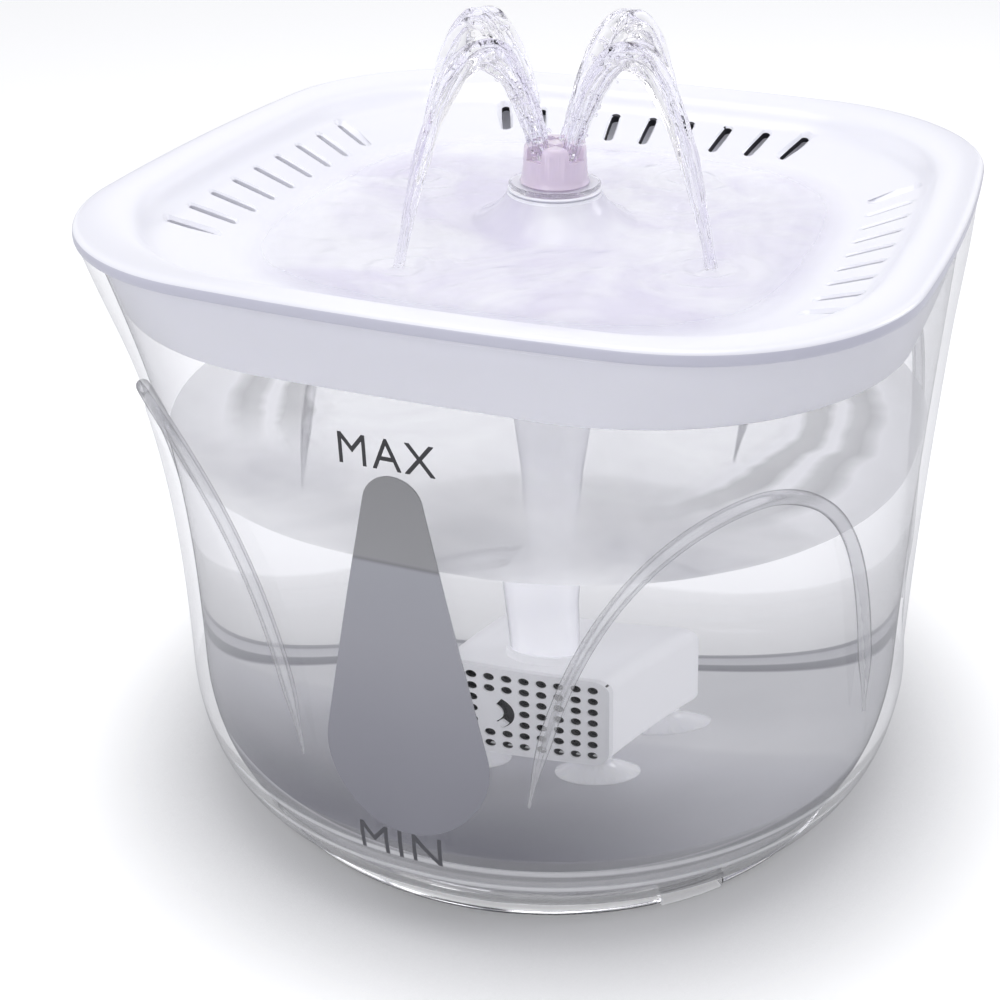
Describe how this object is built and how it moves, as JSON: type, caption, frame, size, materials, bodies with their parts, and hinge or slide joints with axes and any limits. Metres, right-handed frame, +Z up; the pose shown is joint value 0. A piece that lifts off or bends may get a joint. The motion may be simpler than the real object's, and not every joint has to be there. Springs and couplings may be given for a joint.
{
  "type": "pet water fountain",
  "caption": "Countertop pet drinking fountain: clear flared tank, lift-off white drinking tray with drain slots, water-jet nozzle, riser tube and a submersible pump on suction cups.",
  "frame": {"origin": "middle of the tank's footprint, on the surface it stands on", "axes": "+Z up, -Y towards the side with the level window and the pump's grille"},
  "size_m": [0.2, 0.2, 0.1995],
  "materials": {
    "clear_tank": "clear gloss moulding",
    "clear_foot": "clear gloss moulding with turned rings",
    "foot_rubber": "pale soft pads",
    "floor_mat": "smooth grey",
    "window_film": "satin grey print",
    "white_tray": "white gloss moulding",
    "pink_nozzle": "milky lavender, slightly see-through",
    "clear_collar": "clear gloss",
    "water": "water",
    "filter_plastic": "white satin",
    "filter_fibre": "carbon felt",
    "riser_plastic": "milky",
    "pump_plastic": "pale grey satin",
    "seal_rubber": "matt",
    "sponge": "open foam",
    "impeller_plastic": "white",
    "magnet": "ferrite, matt",
    "ceramic": "polished ceramic",
    "laminations": "stacked steel sheets",
    "bobbin_plastic": "cream",
    "copper": "enamelled copper wire",
    "cup_rubber": "milky soft vinyl"
  },
  "bodies": {
    "tank": {"tank": "clear_tank", "foot_ring": "clear_foot", "foot_pads": "foot_rubber", "floor_mat": "floor_mat", "level_window": "window_film", "riser_tube": "riser_plastic", "riser_seal": "seal_rubber", "pump_housing": "pump_plastic", "prefilter_sponge": "sponge", "volute_cover": "pump_plastic", "pump_shaft": "ceramic", "front_bush": "seal_rubber", "rear_bush": "seal_rubber", "stator_core": "laminations", "coil_bobbin": "bobbin_plastic", "motor_coil": "copper", "pump_back": "pump_plastic", "cable_gland": "seal_rubber", "suction_cup_fl": "cup_rubber", "suction_cup_fr": "cup_rubber", "suction_cup_bl": "cup_rubber", "suction_cup_br": "cup_rubber"},
    "tray": {"tray": "white_tray", "hub_sleeve": "white_tray"},
    "nozzle": {"nozzle": "pink_nozzle", "nozzle_collar": "clear_collar", "water_streams": "water"},
    "filter": {"filter_frame": "filter_plastic", "filter_pad": "filter_fibre"},
    "grille": {"pump_grille": "pump_plastic"},
    "lever": {"flow_lever": "pump_plastic"},
    "rotor": {"impeller": "impeller_plastic", "rotor_magnet": "magnet"}
  },
  "joints": [
    {"name": "tray_lift", "type": "slide", "parent": "tank", "child": "tray", "axis": [0, 0, 1], "range_m": [0, 0.04]},
    {"name": "nozzle_pull", "type": "slide", "parent": "tray", "child": "nozzle", "axis": [0, 0, 1], "range_m": [0, 0.015]},
    {"name": "filter_drop", "type": "slide", "parent": "tray", "child": "filter", "axis": [0, 0, -1], "range_m": [0, 0.012]},
    {"name": "grille_pull", "type": "slide", "parent": "tank", "child": "grille", "axis": [0, -1, 0], "range_m": [0, 0.015]},
    {"name": "flow_lever_turn", "type": "hinge", "parent": "grille", "child": "lever", "pos_m": [-0.0074, -0.0139, 0.0286], "axis": [0, -1, 0], "range_deg": [0, 88]},
    {"name": "impeller_spin", "type": "hinge", "parent": "tank", "child": "rotor", "pos_m": [0, 0.005, 0.0291], "axis": [0, 1, 0], "continuous": true}
  ]
}
